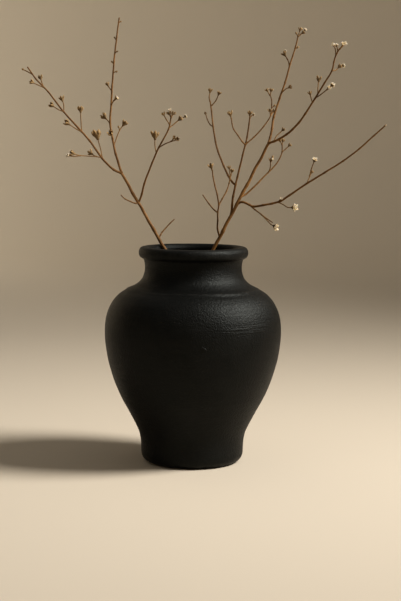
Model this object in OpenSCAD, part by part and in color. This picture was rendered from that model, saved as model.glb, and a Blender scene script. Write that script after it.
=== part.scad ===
// Black clay pot with a rolled lip, holding two dried flower sprigs.
// The pot stands on the XY plane with its axis on Z. All sizes are millimetres.

/* [Pot] */
// Height of the pot from its foot to the top of the lip
pot_height = 250; // [240:1:260]
// Diameter at the widest part of the shoulder
belly_d = 205; // [195:1:215]
// Diameter of the foot
foot_d = 119.5; // [112:0.5:126]
// Diameter of the neck at its narrowest
neck_d = 112.6; // [108:0.2:120]
// Diameter of the clay coil that is rolled into the lip
lip_coil_d = 14; // [11:0.5:16]
// Thickness of the clay wall
wall = 7; // [5:0.5:8]
// Thickness of the floor
floor_thickness = 9; // [7:0.5:12]
// Diameter of the flat disc that the pot stands on
floor_d = 96; // [90:1:100]

/* [Sprigs] */
// Thickness of a main stem at its cut end
stem_butt_d = 5.4; // [4:0.2:6]
// Thickness of a main stem where it forks
stem_fork_d = 3; // [2.4:0.2:3.6]
// Thickness of an arm where it leaves the stem
arm_root_d = 2.6; // [2:0.1:3]
// Thickness of an arm at its tip
arm_tip_d = 1.5; // [1.2:0.1:2]
// Thickness of a bare side twig
bare_twig_d = 1.4; // [1:0.1:1.8]
// Thickness of a stalk under a seed head
stalk_d = 1.3; // [1:0.1:1.6]
// Size of the seed heads and blossoms, as a factor
head_scale = 1; // [0.8:0.05:1.2]

/* [Hidden] */

clay_black = [0.09, 0.09, 0.085];
clay_inside = [0.12, 0.115, 0.11];
twig_brown = [0.42, 0.27, 0.15];
stem_brown = [0.5, 0.34, 0.2];
seed_brown = [0.27, 0.17, 0.09];
petal_cream = [0.93, 0.9, 0.82];

turning_sides = 96;
curve_steps = 4;
twig_sides = 8;
stalk_sides = 6;

foot_r = foot_d / 2;
belly_r = belly_d / 2;
neck_r = neck_d / 2;
floor_r = floor_d / 2;
lip_coil_r = lip_coil_d / 2;
lip_centre_r = neck_r - wall + lip_coil_r + 0.2;
lip_centre_z = pot_height - lip_coil_r;

function last(list) = list[len(list) - 1];
function unit(v) = v / norm(v);
function mix(a, b, t) = a + (b - a) * t;

// ---- Curves -------------------------------------------------------------------------------

// A point at t between b and c on the smooth curve through a, b, c and d.
function curve_point(a, b, c, d, t) =
    0.5 * (2 * b + (c - a) * t + (2 * a - 5 * b + 4 * c - d) * t * t
        + (3 * b - a - 3 * c + d) * t * t * t);

// The smooth curve through all the points, with a number of steps between each two.
function smooth(points, steps) = concat(
    [for (i = [0:len(points) - 2]) for (j = [0:steps - 1])
        curve_point(points[max(i - 1, 0)], points[i], points[i + 1],
            points[min(i + 2, len(points) - 1)], j / steps)],
    [last(points)]);

// The direction in which a curve runs at its point i.
function heading(path, i) = unit(path[min(i + 1, len(path) - 1)] - path[max(i - 1, 0)]);

// A round corner from a to c, pulled towards b.
function corner(a, b, c, steps) =
    [for (j = [0:steps]) let (t = j / steps) mix(mix(a, b, t), mix(b, c, t), t)];

// ---- Outline of the pot: [radius, height] --------------------------------------------------

// A place on the wall: how far out it is from foot (0) to belly (1), at a part of the height.
function swell(out, height) = [mix(foot_r, belly_r, out), height * pot_height];

// A place on the neck: how far it stands out from the narrowest part.
function collar(out, height) = [neck_r + out, height * pot_height];

// The clay is built up in courses, and each course ends at one of these places.
wall_places = [
    swell(0, 0.048), swell(0.018, 0.104), swell(0.095, 0.152), swell(0.308, 0.224),
    swell(0.605, 0.32), swell(0.815, 0.416), swell(0.951, 0.512), swell(1, 0.608),
    swell(0.955, 0.68), swell(0.822, 0.736), swell(0.632, 0.776),
    collar(20.4, 0.804), collar(10.6, 0.824), collar(3.9, 0.848), collar(0.9, 0.876),
    collar(0, 0.904), collar(0.8, 0.932), collar(2.6, 0.945)
];
foot_top = 2;
belly_top = 6;
shoulder_top = 11;
neck_top = len(wall_places) - 1;

outer_wall = smooth(wall_places, curve_steps);
inner_wall = [for (i = [0:len(outer_wall) - 1])
    let (run = heading(outer_wall, i)) outer_wall[i] + wall * [-run[1], run[0]]];

function course(line, from, to) = [for (i = [from * curve_steps:to * curve_steps]) line[i]];
function reversed(line) = [for (i = [len(line) - 1:-1:0]) line[i]];

function lip_point(angle) =
    [lip_centre_r + lip_coil_r * cos(angle), lip_centre_z + lip_coil_r * sin(angle)];
lip_seat_from = -60;
lip_seat_to = -180;
lip_step = 12;

module turn(outline) {
    rotate_extrude($fn = turning_sides) polygon(outline);
}

// One course of the wall, with the clay's thickness between its outer and inner faces.
module wall_course(from, to) {
    turn(concat(course(outer_wall, from, to), reversed(course(inner_wall, from, to))));
}

// The flat disc that everything is built up on.
module pot_floor() {
    color(clay_inside) cylinder(r = floor_r, h = floor_thickness, $fn = turning_sides);
}

// The first course: it wraps round the disc and stands nearly upright.
module pot_foot() {
    edge = corner([floor_r, 0], [foot_r - 0.3, 0.5], wall_places[0], 6);
    seat = corner(inner_wall[0], [inner_wall[0][0], floor_thickness], [floor_r, floor_thickness], 4);
    outside = course(outer_wall, 0, foot_top);
    inside = reversed(course(inner_wall, 0, foot_top));
    color(clay_black)
        turn(concat([for (i = [0:len(edge) - 2]) edge[i]], outside,
            inside, [for (i = [1:len(seat) - 1]) seat[i]]));
}

module pot_belly() {
    color(clay_black) wall_course(foot_top, belly_top);
}

module pot_shoulder() {
    color(clay_black) wall_course(belly_top, shoulder_top);
}

// The collar, whose top is hollowed to seat the rolled coil.
module pot_neck() {
    outside = course(outer_wall, shoulder_top, neck_top - 1);
    inside = reversed(course(inner_wall, shoulder_top, neck_top - 1));
    seat = [for (a = [lip_seat_from:-lip_step:lip_seat_to]) lip_point(a)];
    color(clay_black) turn(concat(outside, seat, inside));
}

// The coil of clay that is rolled over into the lip.
module pot_rim() {
    color(clay_black) turn([for (a = [-180:lip_step:179]) lip_point(a)]);
}

// ---- Twigs ----------------------------------------------------------------------------------

function ring(centre, along, radius, sides) =
    let (across = unit(cross(along, [0, 1, 0])), up = cross(along, across))
    [for (k = [0:sides - 1])
        centre + radius * (across * cos(360 * k / sides) + up * sin(360 * k / sides))];

// A twig: a tapering round rod along the smooth curve through its points.
module twig(points, root_d, tip_d, sides = twig_sides, steps = 2) {
    path = smooth(points, steps);
    ends = len(path) - 1;
    rings = [for (i = [0:ends])
        ring(path[i], heading(path, i), mix(root_d, tip_d, i / ends) / 2, sides)];
    polyhedron(
        points = [for (r = rings) for (p = r) p],
        faces = concat(
            [[for (k = [0:sides - 1]) k]],
            [[for (k = [sides - 1:-1:0]) ends * sides + k]],
            [for (i = [0:ends - 1]) for (k = [0:sides - 1])
                let (n = (k + 1) % sides)
                [i * sides + k, (i + 1) * sides + k, (i + 1) * sides + n, i * sides + n]]));
}

// Puts its children at the end of a stalk, with their Z along the stalk's last stretch.
module at_tip(points) {
    along = unit(last(points) - points[len(points) - 2]);
    turn_axis = cross([0, 0, 1], along);
    translate(last(points)) rotate(a = acos(along[2]), v = turn_axis) children();
}

// A dry seed head: a cup that flares from the stalk to a toothed top.
module seed_head(r) {
    rotate_extrude($fn = 24)
        polygon([[0, -0.5 * r], [0.3 * r, -0.5 * r], [0.5 * r, 0.3 * r], [r, 1.2 * r],
            [0.9 * r, 1.6 * r], [0, 1.8 * r]]);
}

// A closed bud: a small spindle.
module bud(r) {
    rotate_extrude($fn = 24)
        polygon([[0, -0.5 * r], [0.5 * r, -0.5 * r], [r, 0.7 * r], [0.6 * r, 2 * r], [0, 2.4 * r]]);
}

// An open dry blossom: a shallow round cup of papery petals.
module blossom(r) {
    rotate_extrude($fn = 24)
        polygon([[0, -0.4 * r], [0.3 * r, -0.4 * r], [r, 0.4 * r], [0.9 * r, 1 * r], [0, 1.2 * r]]);
}

// A shoot is [what it ends in, that end's radius, the points of its stalk].
function shoots_ending_in(shoots, kind) = [for (s = shoots) if (s[0] == kind) s];

module stalks(shoots) {
    for (s = shoots) twig(s[2], stalk_d, stalk_d * 0.85, stalk_sides, 1);
}

module heads(shoots) {
    for (s = shoots_ending_in(shoots, "seed")) at_tip(s[2]) seed_head(s[1] * head_scale);
    for (s = shoots_ending_in(shoots, "bud")) at_tip(s[2]) bud(s[1] * head_scale);
}

module blossoms(shoots) {
    for (s = shoots_ending_in(shoots, "blossom")) at_tip(s[2]) blossom(s[1] * head_scale);
}

// ---- Left sprig -------------------------------------------------------------------------------

// The stem is straight from its cut end inside the pot to its fork, so it draws out along itself.
left_stem_line = [[62, 32, 78], [-85, 32, 333]];

left_outer_line = [[-85, 32, 333], [-94, 29, 337], [-107, 24, 350], [-121, 18, 370], [-134, 12, 385],
    [-150, 6, 403], [-167, 2, 425], [-181, -1, 440], [-190, -4, 453]];
left_middle_line = [[-85, 32, 333], [-92, 36, 355], [-96, 40, 373], [-99, 43, 391], [-98, 46, 413],
    [-97, 48, 434], [-95, 50, 463], [-92, 51, 491], [-89, 52, 514]];
left_inner_line = [[-65, 32, 298], [-61, 30, 309], [-58, 28, 321], [-49, 24, 345], [-41, 20, 363],
    [-30, 17, 384], [-27, 15, 398]];

left_bare_lines = [
    [[-65, 32, 298], [-69, 29, 298], [-74, 26, 300], [-80, 22, 303], [-85, 19, 308]],
    [[-41, 32, 257], [-39, 35, 261], [-37, 38, 264], [-28, 42, 274], [-23, 44, 279]]
];

left_shoots = [
    // on the outer arm, from its tip down
    ["bud", 1.3, [[-185, -2, 445], [-191, 0, 448], [-195, 2, 450]]],
    ["seed", 2.3, [[-172, 1, 430], [-179, -4, 433], [-183, -6, 435]]],
    ["seed", 2.5, [[-172, 1, 430], [-175, 5, 437], [-176, 7, 440]]],
    ["seed", 2.7, [[-150, 6, 403], [-155, 1, 405], [-161, -2, 409]]],
    ["seed", 2.7, [[-150, 6, 403], [-150, 10, 410], [-152, 13, 416]]],
    ["seed", 3.2, [[-130, 14, 380], [-135, 9, 383], [-144, 5, 389]]],
    ["seed", 3.2, [[-130, 14, 381], [-131, 19, 390], [-132, 24, 404]]],
    ["seed", 3, [[-107, 24, 350], [-113, 20, 352], [-131, 10, 353], [-138, 7, 355]]],
    ["blossom", 2.6, [[-131, 10, 353], [-138, 5, 352], [-144, 3, 353]]],
    ["seed", 3, [[-113, 20, 352], [-116, 22, 353], [-119, 24, 355]]],
    ["seed", 5, [[-107, 24, 351], [-109, 28, 360], [-112, 32, 370], [-113, 33, 374]]],
    // on the middle arm, from its tip down
    ["bud", 1, [[-90, 52, 508], [-88, 53, 509]]],
    ["bud", 1, [[-92, 51, 487], [-94, 52, 490]]],
    ["bud", 1.1, [[-94, 50, 473], [-92, 49, 474]]],
    ["bud", 1.1, [[-95, 50, 460], [-97, 51, 462]]],
    ["bud", 1.2, [[-96, 49, 450], [-93, 50, 451]]],
    ["seed", 2.2, [[-97, 48, 428], [-101, 51, 433], [-102, 52, 435]]],
    ["seed", 2.2, [[-98, 46, 412], [-95, 42, 417], [-93, 41, 419]]],
    ["blossom", 2, [[-95, 42, 417], [-93, 40, 418], [-91, 39, 420]]],
    ["seed", 3.2, [[-99, 43, 390], [-102, 46, 394], [-105, 48, 397]]],
    ["seed", 3, [[-96, 40, 372], [-96, 36, 375], [-97, 34, 377]]],
    ["seed", 3.2, [[-94, 39, 366], [-91, 44, 375], [-88, 48, 383], [-84, 50, 389]]],
    ["bud", 1.2, [[-88, 48, 383], [-89, 46, 386]]],
    // on the inner arm
    ["seed", 4.2, [[-44, 22, 356], [-46, 27, 366], [-46, 31, 374]]],
    ["seed", 2.3, [[-41, 20, 363], [-34, 15, 367], [-27, 11, 370], [-24, 9, 373]]],
    ["seed", 2.2, [[-27, 11, 370], [-23, 8, 371], [-21, 6, 372]]],
    ["seed", 2.5, [[-30, 17, 385], [-25, 20, 389], [-18, 23, 395]]],
    ["blossom", 2.4, [[-18, 23, 395], [-14, 26, 397], [-11, 27, 399]]],
    ["seed", 2, [[-29, 16, 390], [-33, 12, 396], [-35, 10, 400]]],
    ["seed", 2.2, [[-27, 15, 397], [-29, 13, 401]]],
    ["seed", 2.2, [[-27, 15, 397], [-25, 18, 401]]],
    ["blossom", 2, [[-27, 15, 397], [-27, 11, 402], [-28, 9, 405]]]
];

// ---- Right sprig ------------------------------------------------------------------------------

right_stem_line = [[-60, 40, 80], [87, 40, 369]];

right_low_line = [[31, 40, 258], [28, 36, 268], [28, 31, 278], [28, 27, 288], [29, 23, 297],
    [27, 20, 309], [24, 17, 320], [22, 14, 330], [21, 12, 338]];
right_inner_line = [[44, 40, 285], [45, 43, 296], [46, 45, 306], [49, 47, 320], [51, 48, 329],
    [54, 49, 342], [57, 50, 355], [60, 50, 367], [62, 51, 376], [64, 52, 391], [65, 52, 399]];
right_curved_line = [[49, 47, 320], [45, 50, 323], [40, 54, 331], [35, 58, 342], [28, 62, 359],
    [25, 64, 370], [22, 66, 388], [20, 67, 406], [18, 68, 419]];
right_drooping_line = [[51, 40, 298], [57, 38, 300], [65, 35, 297], [70, 33, 295], [81, 29, 297],
    [91, 26, 299], [101, 23, 302], [111, 20, 309], [131, 15, 323], [151, 10, 336], [171, 6, 349],
    [190, 2, 364], [205, 0, 378], [219, -2, 391]];
right_short_line = [[55, 40, 306], [61, 43, 309], [70, 46, 317], [77, 49, 324], [87, 53, 334],
    [93, 55, 340], [98, 57, 346], [102, 59, 353], [104, 60, 359], [104, 61, 368]];
right_outer_line = [[87, 40, 369], [93, 37, 371], [99, 34, 374], [107, 30, 379], [114, 27, 385],
    [121, 24, 393], [128, 21, 403], [139, 17, 421], [149, 13, 438], [157, 10, 452], [159, 8, 462],
    [161, 7, 469], [165, 6, 477]];
right_top_line = [[87, 40, 369], [89, 43, 376], [91, 45, 386], [93, 48, 400], [100, 51, 422],
    [106, 53, 440], [112, 55, 462], [118, 57, 482], [121, 58, 495]];

right_forked_lines = [
    [[60, 50, 367], [56, 47, 371], [51, 44, 378], [46, 41, 385], [44, 40, 391], [43, 39, 398]],
    [[60, 50, 367], [63, 51, 370], [70, 54, 376], [82, 58, 389], [90, 61, 402], [91, 62, 414],
        [91, 62, 420], [89, 61, 426]],
    [[29, 23, 297], [33, 26, 304], [38, 29, 313], [41, 32, 322], [43, 35, 332]]
];
right_bare_lines = [
    [[28, 27, 288], [24, 24, 291], [18, 20, 298], [10, 15, 309]],
    [[65, 35, 297], [71, 31, 292], [79, 27, 286], [86, 24, 281], [92, 21, 277]]
];

right_shoots = [
    // on the low twig
    ["seed", 2.8, [[21, 12, 337], [20, 11, 340]]],
    ["seed", 2.2, [[43, 35, 331], [44, 36, 335]]],
    ["seed", 2, [[41, 32, 322], [42, 31, 330], [41, 31, 339]]],
    // on the curved arm
    ["seed", 2.4, [[18, 68, 418], [17, 68, 423], [18, 69, 429]]],
    ["seed", 2.2, [[20, 67, 413], [25, 66, 419], [28, 65, 426]]],
    ["bud", 1.4, [[22, 66, 388], [18, 67, 391], [15, 68, 397], [13, 69, 403]]],
    // on the inner arm and the forked twigs
    ["seed", 2.6, [[65, 52, 398], [65, 51, 402]]],
    ["blossom", 2, [[65, 52, 398], [67, 53, 401], [69, 54, 402]]],
    ["seed", 2.8, [[43, 39, 397], [42, 38, 401]]],
    ["seed", 2, [[90, 61, 402], [89, 58, 406]]],
    ["seed", 2, [[90, 61, 402], [93, 63, 406]]],
    ["bud", 1.3, [[91, 62, 411], [94, 63, 413]]],
    ["seed", 2, [[89, 61, 425], [86, 60, 430]]],
    ["seed", 2, [[89, 61, 425], [90, 62, 430]]],
    // on the drooping arm
    ["seed", 1.8, [[131, 15, 323], [134, 18, 331], [136, 19, 335]]],
    ["blossom", 3.4, [[134, 18, 331], [136, 17, 340], [139, 16, 349]]],
    ["blossom", 4.6, [[97, 24, 301], [104, 20, 298], [109, 17, 295], [115, 14, 295]]],
    ["blossom", 4.4, [[79, 27, 286], [87, 21, 278], [90, 19, 275], [94, 17, 273]]],
    // on the short arm
    ["seed", 2, [[104, 61, 367], [102, 60, 371]]],
    ["seed", 2, [[104, 61, 367], [105, 63, 371]]],
    ["seed", 2, [[104, 60, 359], [109, 62, 363], [112, 63, 366]]],
    ["seed", 2, [[88, 53, 335], [90, 51, 341], [90, 49, 348]]],
    ["bud", 1.4, [[90, 49, 347], [92, 51, 352]]],
    ["blossom", 1.6, [[90, 49, 347], [92, 46, 350]]],
    // on the outer arm, from its root up
    ["seed", 2, [[93, 37, 371], [96, 41, 377], [101, 44, 382], [103, 45, 384]]],
    ["seed", 2.2, [[136, 18, 416], [134, 16, 421], [133, 15, 425]]],
    ["seed", 3, [[142, 16, 427], [142, 19, 433], [143, 22, 441]]],
    ["blossom", 2.8, [[139, 17, 421], [145, 13, 425], [151, 9, 430], [153, 8, 432]]],
    ["blossom", 3, [[151, 9, 430], [155, 8, 433], [157, 9, 435]]],
    ["seed", 2.2, [[157, 10, 452], [162, 13, 453], [165, 15, 456]]],
    ["blossom", 2.4, [[165, 15, 456], [168, 17, 457], [170, 18, 458]]],
    ["blossom", 2.6, [[161, 7, 470], [160, 5, 476], [158, 4, 480]]],
    ["blossom", 2.4, [[162, 7, 471], [163, 9, 476], [162, 11, 480]]],
    ["blossom", 2.6, [[165, 6, 476], [167, 4, 479], [168, 2, 481]]],
    ["blossom", 2.4, [[165, 6, 476], [169, 8, 480], [171, 9, 482]]],
    // on the top arm, from its root up
    ["seed", 2.2, [[102, 51, 428], [106, 48, 432], [110, 46, 434]]],
    ["seed", 2.6, [[111, 55, 460], [109, 58, 467], [106, 60, 472]]],
    ["blossom", 1.8, [[109, 58, 467], [106, 61, 473], [106, 63, 477]]],
    ["bud", 1.3, [[117, 57, 479], [120, 58, 481]]],
    ["bud", 1.2, [[121, 58, 494], [119, 56, 497]]],
    ["seed", 2.2, [[121, 58, 494], [123, 59, 501]]],
    ["seed", 1.8, [[121, 58, 494], [126, 60, 498]]],
    ["blossom", 2, [[121, 58, 494], [127, 62, 500], [129, 62, 502]]]
];

module main_stem(line) {
    color(stem_brown) twig(line, stem_butt_d, stem_fork_d, 12, 6);
}

module arm(line, root_d = arm_root_d, tip_d = arm_tip_d) {
    color(twig_brown) twig(line, root_d, tip_d);
}

module bare_twigs(lines) {
    color(twig_brown) for (line = lines) twig(line, bare_twig_d * 1.2, bare_twig_d * 0.8, stalk_sides);
}

module left_stem() { main_stem(left_stem_line); }
module left_outer_arm() { arm(left_outer_line); }
module left_middle_arm() { arm(left_middle_line); }
module left_inner_arm() { arm(left_inner_line, arm_root_d * 0.85); }
module left_bare_twigs() { bare_twigs(left_bare_lines); }
module left_stalks() { color(twig_brown) stalks(left_shoots); }
module left_seed_heads() { color(seed_brown) heads(left_shoots); }
module left_blossoms() { color(petal_cream) blossoms(left_shoots); }

module right_stem() { main_stem(right_stem_line); }
module right_low_twig() { arm(right_low_line, arm_root_d * 0.8, arm_tip_d * 0.8); }
module right_inner_arm() { arm(right_inner_line); }
module right_curved_arm() { arm(right_curved_line, arm_root_d * 0.9); }
module right_forked_twigs() { bare_twigs(right_forked_lines); }
module right_drooping_arm() { arm(right_drooping_line); }
module right_short_arm() { arm(right_short_line, arm_root_d * 0.8, arm_tip_d * 0.8); }
module right_outer_arm() { arm(right_outer_line); }
module right_top_arm() { arm(right_top_line); }
module right_bare_twigs() { bare_twigs(right_bare_lines); }
module right_stalks() { color(twig_brown) stalks(right_shoots); }
module right_seed_heads() { color(seed_brown) heads(right_shoots); }
module right_blossoms() { color(petal_cream) blossoms(right_shoots); }

pot_floor();
pot_foot();
pot_belly();
pot_shoulder();
pot_neck();
pot_rim();
left_stem();
left_outer_arm();
left_middle_arm();
left_inner_arm();
left_bare_twigs();
left_stalks();
left_seed_heads();
left_blossoms();
right_stem();
right_low_twig();
right_inner_arm();
right_curved_arm();
right_forked_twigs();
right_drooping_arm();
right_short_arm();
right_outer_arm();
right_top_arm();
right_bare_twigs();
right_stalks();
right_seed_heads();
right_blossoms();
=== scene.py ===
import math
import random

import bpy
import numpy as np
from mathutils import Matrix, Vector


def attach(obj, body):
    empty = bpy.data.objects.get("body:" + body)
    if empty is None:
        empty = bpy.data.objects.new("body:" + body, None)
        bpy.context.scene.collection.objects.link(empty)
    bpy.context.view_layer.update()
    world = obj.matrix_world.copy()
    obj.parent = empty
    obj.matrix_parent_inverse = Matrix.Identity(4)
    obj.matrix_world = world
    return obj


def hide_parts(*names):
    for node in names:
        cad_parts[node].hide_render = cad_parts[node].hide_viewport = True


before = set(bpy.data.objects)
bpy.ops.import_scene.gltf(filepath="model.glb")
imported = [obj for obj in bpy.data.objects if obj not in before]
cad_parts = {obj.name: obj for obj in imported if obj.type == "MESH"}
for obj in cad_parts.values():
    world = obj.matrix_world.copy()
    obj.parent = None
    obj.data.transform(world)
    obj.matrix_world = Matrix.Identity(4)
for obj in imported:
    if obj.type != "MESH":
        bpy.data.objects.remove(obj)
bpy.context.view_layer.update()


# ---- Floor of the pot -----------------------------------------------------------------------
# The flat disc of dark clay that the potter pats out first and builds everything up on. A thumb
# leaves a spiral in its top, and its underside is hollowed a little, so that the pot stands on a
# ring. It turns black with the rest in a smoke firing, and it isn't burnished.

MM = 0.001
STEPS_ROUND = 480
turn = np.linspace(0, 2 * math.pi, STEPS_ROUND, endpoint=False)


def add_node(tree, kind, inputs=None, **settings):
    """One node of a material, with its settings made and its inputs wired or filled in."""
    made = tree.nodes.new(kind)
    for setting, value in settings.items():
        setattr(made, setting, value)
    for socket, value in (inputs or {}).items():
        if isinstance(value, bpy.types.NodeSocket):
            tree.links.new(value, made.inputs[socket])
        else:
            made.inputs[socket].default_value = value
    return made


def mottle(tree, place, scale, detail=2):
    """A soft random pattern from 0 to 1, with scale patches to the metre."""
    return add_node(
        tree, "ShaderNodeTexNoise", {"Vector": place, "Scale": scale, "Detail": detail}
    ).outputs["Fac"]


def rescale(tree, value, low, high, to_low=0.0, to_high=1.0):
    """The value with its range low to high stretched to another range, and held inside it."""
    return add_node(
        tree,
        "ShaderNodeMapRange",
        {"Value": value, "From Min": low, "From Max": high, "To Min": to_low, "To Max": to_high},
    ).outputs["Result"]


def sum_of(tree, *parts):
    """Adds up pairs of (value, share)."""
    total = 0.0
    for value, share in parts:
        total = add_node(
            tree, "ShaderNodeMath", {0: value, 1: share, 2: total}, operation="MULTIPLY_ADD"
        ).outputs[0]
    return total


def product(tree, one, other):
    return add_node(tree, "ShaderNodeMath", {0: one, 1: other}, operation="MULTIPLY").outputs[0]


def tint(tree, amount, colour, over):
    """The colour with another laid over it by an amount from 0 to 1."""
    return add_node(
        tree, "ShaderNodeMix", {0: amount, 6: colour, 7: over}, data_type="RGBA"
    ).outputs[2]


def stretched(tree, place, across, up):
    """The place scaled by one number across and another up, for marks that run round the pot."""
    return add_node(
        tree, "ShaderNodeMapping", {"Vector": place, "Scale": (across, across, up)}
    ).outputs["Vector"]


def value_of(tree, label):
    """The number that a piece's mesh holds under a label."""
    return add_node(tree, "ShaderNodeAttribute", attribute_name=label).outputs["Fac"]


def new_skin(name):
    """A new material, with its node tree, its surface and the place on the piece."""
    skin = bpy.data.materials.new(name)
    skin.use_nodes = True
    tree = skin.node_tree
    place = add_node(tree, "ShaderNodeTexCoord").outputs["Object"]
    return skin, tree, tree.nodes["Principled BSDF"], place


def set_relief(tree, surface, relief, depth):
    """Fine relief on a surface, too small for its mesh. depth is in metres."""
    bump = add_node(tree, "ShaderNodeBump", {"Height": relief, "Distance": depth})
    tree.links.new(bump.outputs["Normal"], surface.inputs["Normal"])


def smoked_clay(name, black, smoke, roughness, drag):
    """Clay fired in smoke: clouds of black and charcoal, fine grit, pits and dragged lines.
    "worn" is where it is rubbed pale, and "scuffed" is where a rough rib scratched it."""
    skin, tree, surface, place = new_skin(name)
    sooty = [0.8 * c for c in black[:3]] + [1]
    pale_grit = (0.05, 0.049, 0.045, 1)
    rubbed = (0.075, 0.073, 0.068, 1)

    clouds = rescale(tree, mottle(tree, place, scale=13, detail=4), 0.36, 0.66)
    smudges = rescale(tree, mottle(tree, place, scale=60, detail=3), 0.5, 0.75, 0.0, 0.6)
    grit = mottle(tree, place, scale=1100)
    grain = mottle(tree, place, scale=540, detail=4)
    dragged = mottle(tree, stretched(tree, place, across=24, up=640), scale=1, detail=3)
    patchy = rescale(tree, mottle(tree, place, scale=140, detail=3), 0.35, 0.6)
    worn = product(tree, value_of(tree, "worn"), patchy)
    scratches = mottle(tree, stretched(tree, place, across=30, up=620), scale=1)
    scratches = rescale(tree, scratches, 0.42, 0.62)
    scratches = product(tree, value_of(tree, "scuffed"), scratches)

    colour = tint(tree, clouds, black, smoke)
    colour = tint(tree, smudges, colour, sooty)
    colour = tint(tree, rescale(tree, grit, 0.6, 0.8, 0.0, 0.5), colour, pale_grit)
    colour = tint(tree, product(tree, worn, 0.6), colour, rubbed)
    tree.links.new(colour, surface.inputs["Base Color"])

    # The patterns add about 0.2 to the roughness, so most of that is taken off again.
    rough = sum_of(tree, (clouds, 0.06), (dragged, drag), (grain, 0.2), (worn, -0.08))
    rough = sum_of(tree, (rough, 1.0), (1.0, roughness - 0.15))
    tree.links.new(rough, surface.inputs["Roughness"])
    surface.inputs["Specular IOR Level"].default_value = 0.17
    surface.inputs["Specular Tint"].default_value = (0.93, 1.0, 0.96, 1)

    hole = add_node(
        tree, "ShaderNodeTexVoronoi", {"Vector": place, "Scale": 190.0}
    ).outputs["Distance"]
    pits = rescale(tree, hole, 0.05, 0.16, 1.0, 0.0)
    pitted = rescale(tree, mottle(tree, place, scale=55, detail=1), 0.52, 0.6)
    pits = product(tree, pits, pitted)
    relief = sum_of(tree, (grain, 1.5), (grit, 0.8), (dragged, 2.2 * drag), (pits, -0.8))
    relief = sum_of(tree, (relief, 1.0), (scratches, 0.9))
    set_relief(tree, surface, relief, 0.0004)
    return skin


unburnished_clay = smoked_clay(
    "unburnished_clay", (0.006, 0.0058, 0.005, 1), (0.011, 0.0105, 0.0095, 1), 0.68, 0.25
)


def make_piece(name, points, faces, skins, values=None):
    """A mesh object of points in millimetres. values are numbers that its materials read."""
    mesh = bpy.data.meshes.new(name)
    mesh.from_pydata((np.asarray(points) * MM).tolist(), [], faces)
    for skin in skins:
        mesh.materials.append(skin)
    mesh.polygons.foreach_set("use_smooth", [True] * len(mesh.polygons))
    for label, numbers in (values or {}).items():
        kept = mesh.attributes.new(label, "FLOAT", "POINT")
        kept.data.foreach_set("value", np.asarray(numbers, np.float32))
    piece = bpy.data.objects.new(name, mesh)
    bpy.context.scene.collection.objects.link(piece)
    return piece


def ring_faces(rings, sides, closed=False):
    """Four-sided faces between rings of points, each with a number of sides."""
    last = rings if closed else rings - 1
    return [
        (k * sides + i, k * sides + (i + 1) % sides,
         (k + 1) % rings * sides + (i + 1) % sides, (k + 1) % rings * sides + i)
        for k in range(last) for i in range(sides)
    ]


def capped_faces(rings, sides):
    """The faces between rings, with one flat face across each end."""
    count = rings * sides
    ends = [tuple(range(sides - 1, -1, -1)), tuple(range(count - sides, count))]
    return ring_faces(rings, sides) + ends


floor_radius = 48
floor_thickness = 9
thumb_gap = 7
thumb_depth = 0.45
thumb_fade = 6
hollow_depth = 0.8
middle_radius = 0.6
floor_ring_gap = 1.5

# The rings run out along the underside and in along the top, so the faces look outwards.
floor_rings = [(middle_radius, 0)]
floor_rings += [(r, 0) for r in np.arange(3, floor_radius - 1, floor_ring_gap)]
floor_rings += [(floor_radius - 0.5, 0), (floor_radius, 0), (floor_radius, floor_thickness)]
floor_rings += [(r, floor_thickness) for r in np.arange(floor_radius - 1, 1, -floor_ring_gap)]
floor_rings += [(middle_radius, floor_thickness)]
disc = []
for ring_radius, ring_height in floor_rings:
    inward = 1 - (ring_radius / floor_radius) ** 2
    if ring_height == 0:
        lift = hollow_depth * min(1, 2.5 * inward) * np.ones(STEPS_ROUND)
    else:
        groove = 0.5 - 0.5 * np.cos(2 * math.pi * ring_radius / thumb_gap - turn)
        lift = -thumb_depth * groove * min(1, 4 * inward) * min(1, ring_radius / thumb_fade)
    disc.append(
        np.stack([ring_radius * np.cos(turn), ring_radius * np.sin(turn), ring_height + lift], 1)
    )
floor_disc = make_piece(
    "floor_disc", np.concatenate(disc), capped_faces(len(floor_rings), STEPS_ROUND),
    [unburnished_clay],
)
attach(floor_disc, "pot")
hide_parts("pot_floor")


# ---- Foot course ----------------------------------------------------------------------------
# The first wall course: a thick strip of clay wrapped round the disc and pinched up nearly
# upright. Its lower edge is rounded with a wet thumb and rubs pale where the pot stands. The
# whole wall is one pull of clay, so its outline and its handmade surface are worked out here.

# The outside of the wall as (radius, height), and the places on it, counted from 0 at the first
# one, where each course ends.
wall_places = [
    (59.75, 12), (60.52, 26), (63.81, 38), (72.92, 56), (85.61, 80), (94.59, 104), (100.41, 128),
    (102.5, 152), (100.58, 170), (94.89, 184), (86.77, 194), (76.7, 201), (66.9, 206),
    (60.2, 212), (57.2, 219), (56.3, 226), (57.1, 233), (58.9, 236.25)
]
foot_top = 2
belly_top = 6
shoulder_top = 11
neck_top = 16
wall_thickness = 7
lip_coil_radius = 7
lip_squareness = 2.4
lip_centre = (56.5, 243)
outer_gap = 0.9
inner_gap = 2.6


def smooth_curve(points, places):
    """The smooth curve through the points, at places counted from 0 at the first point."""
    points = np.asarray(points, float)
    places = np.atleast_1d(places)
    last = len(points) - 1
    i = np.clip(np.floor(places).astype(int), 0, last - 1)
    t = (places - i)[:, None]
    a, b = points[np.maximum(i - 1, 0)], points[i]
    c, d = points[i + 1], points[np.minimum(i + 2, last)]
    bend = (2 * a - 5 * b + 4 * c - d) * t**2 + (3 * b - a - 3 * c + d) * t**3
    return 0.5 * (2 * b + (c - a) * t + bend)


def run_along(line):
    """How far along the line each of its points is."""
    return np.concatenate([[0], np.cumsum(np.linalg.norm(np.diff(line, axis=0), axis=1))])


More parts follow.
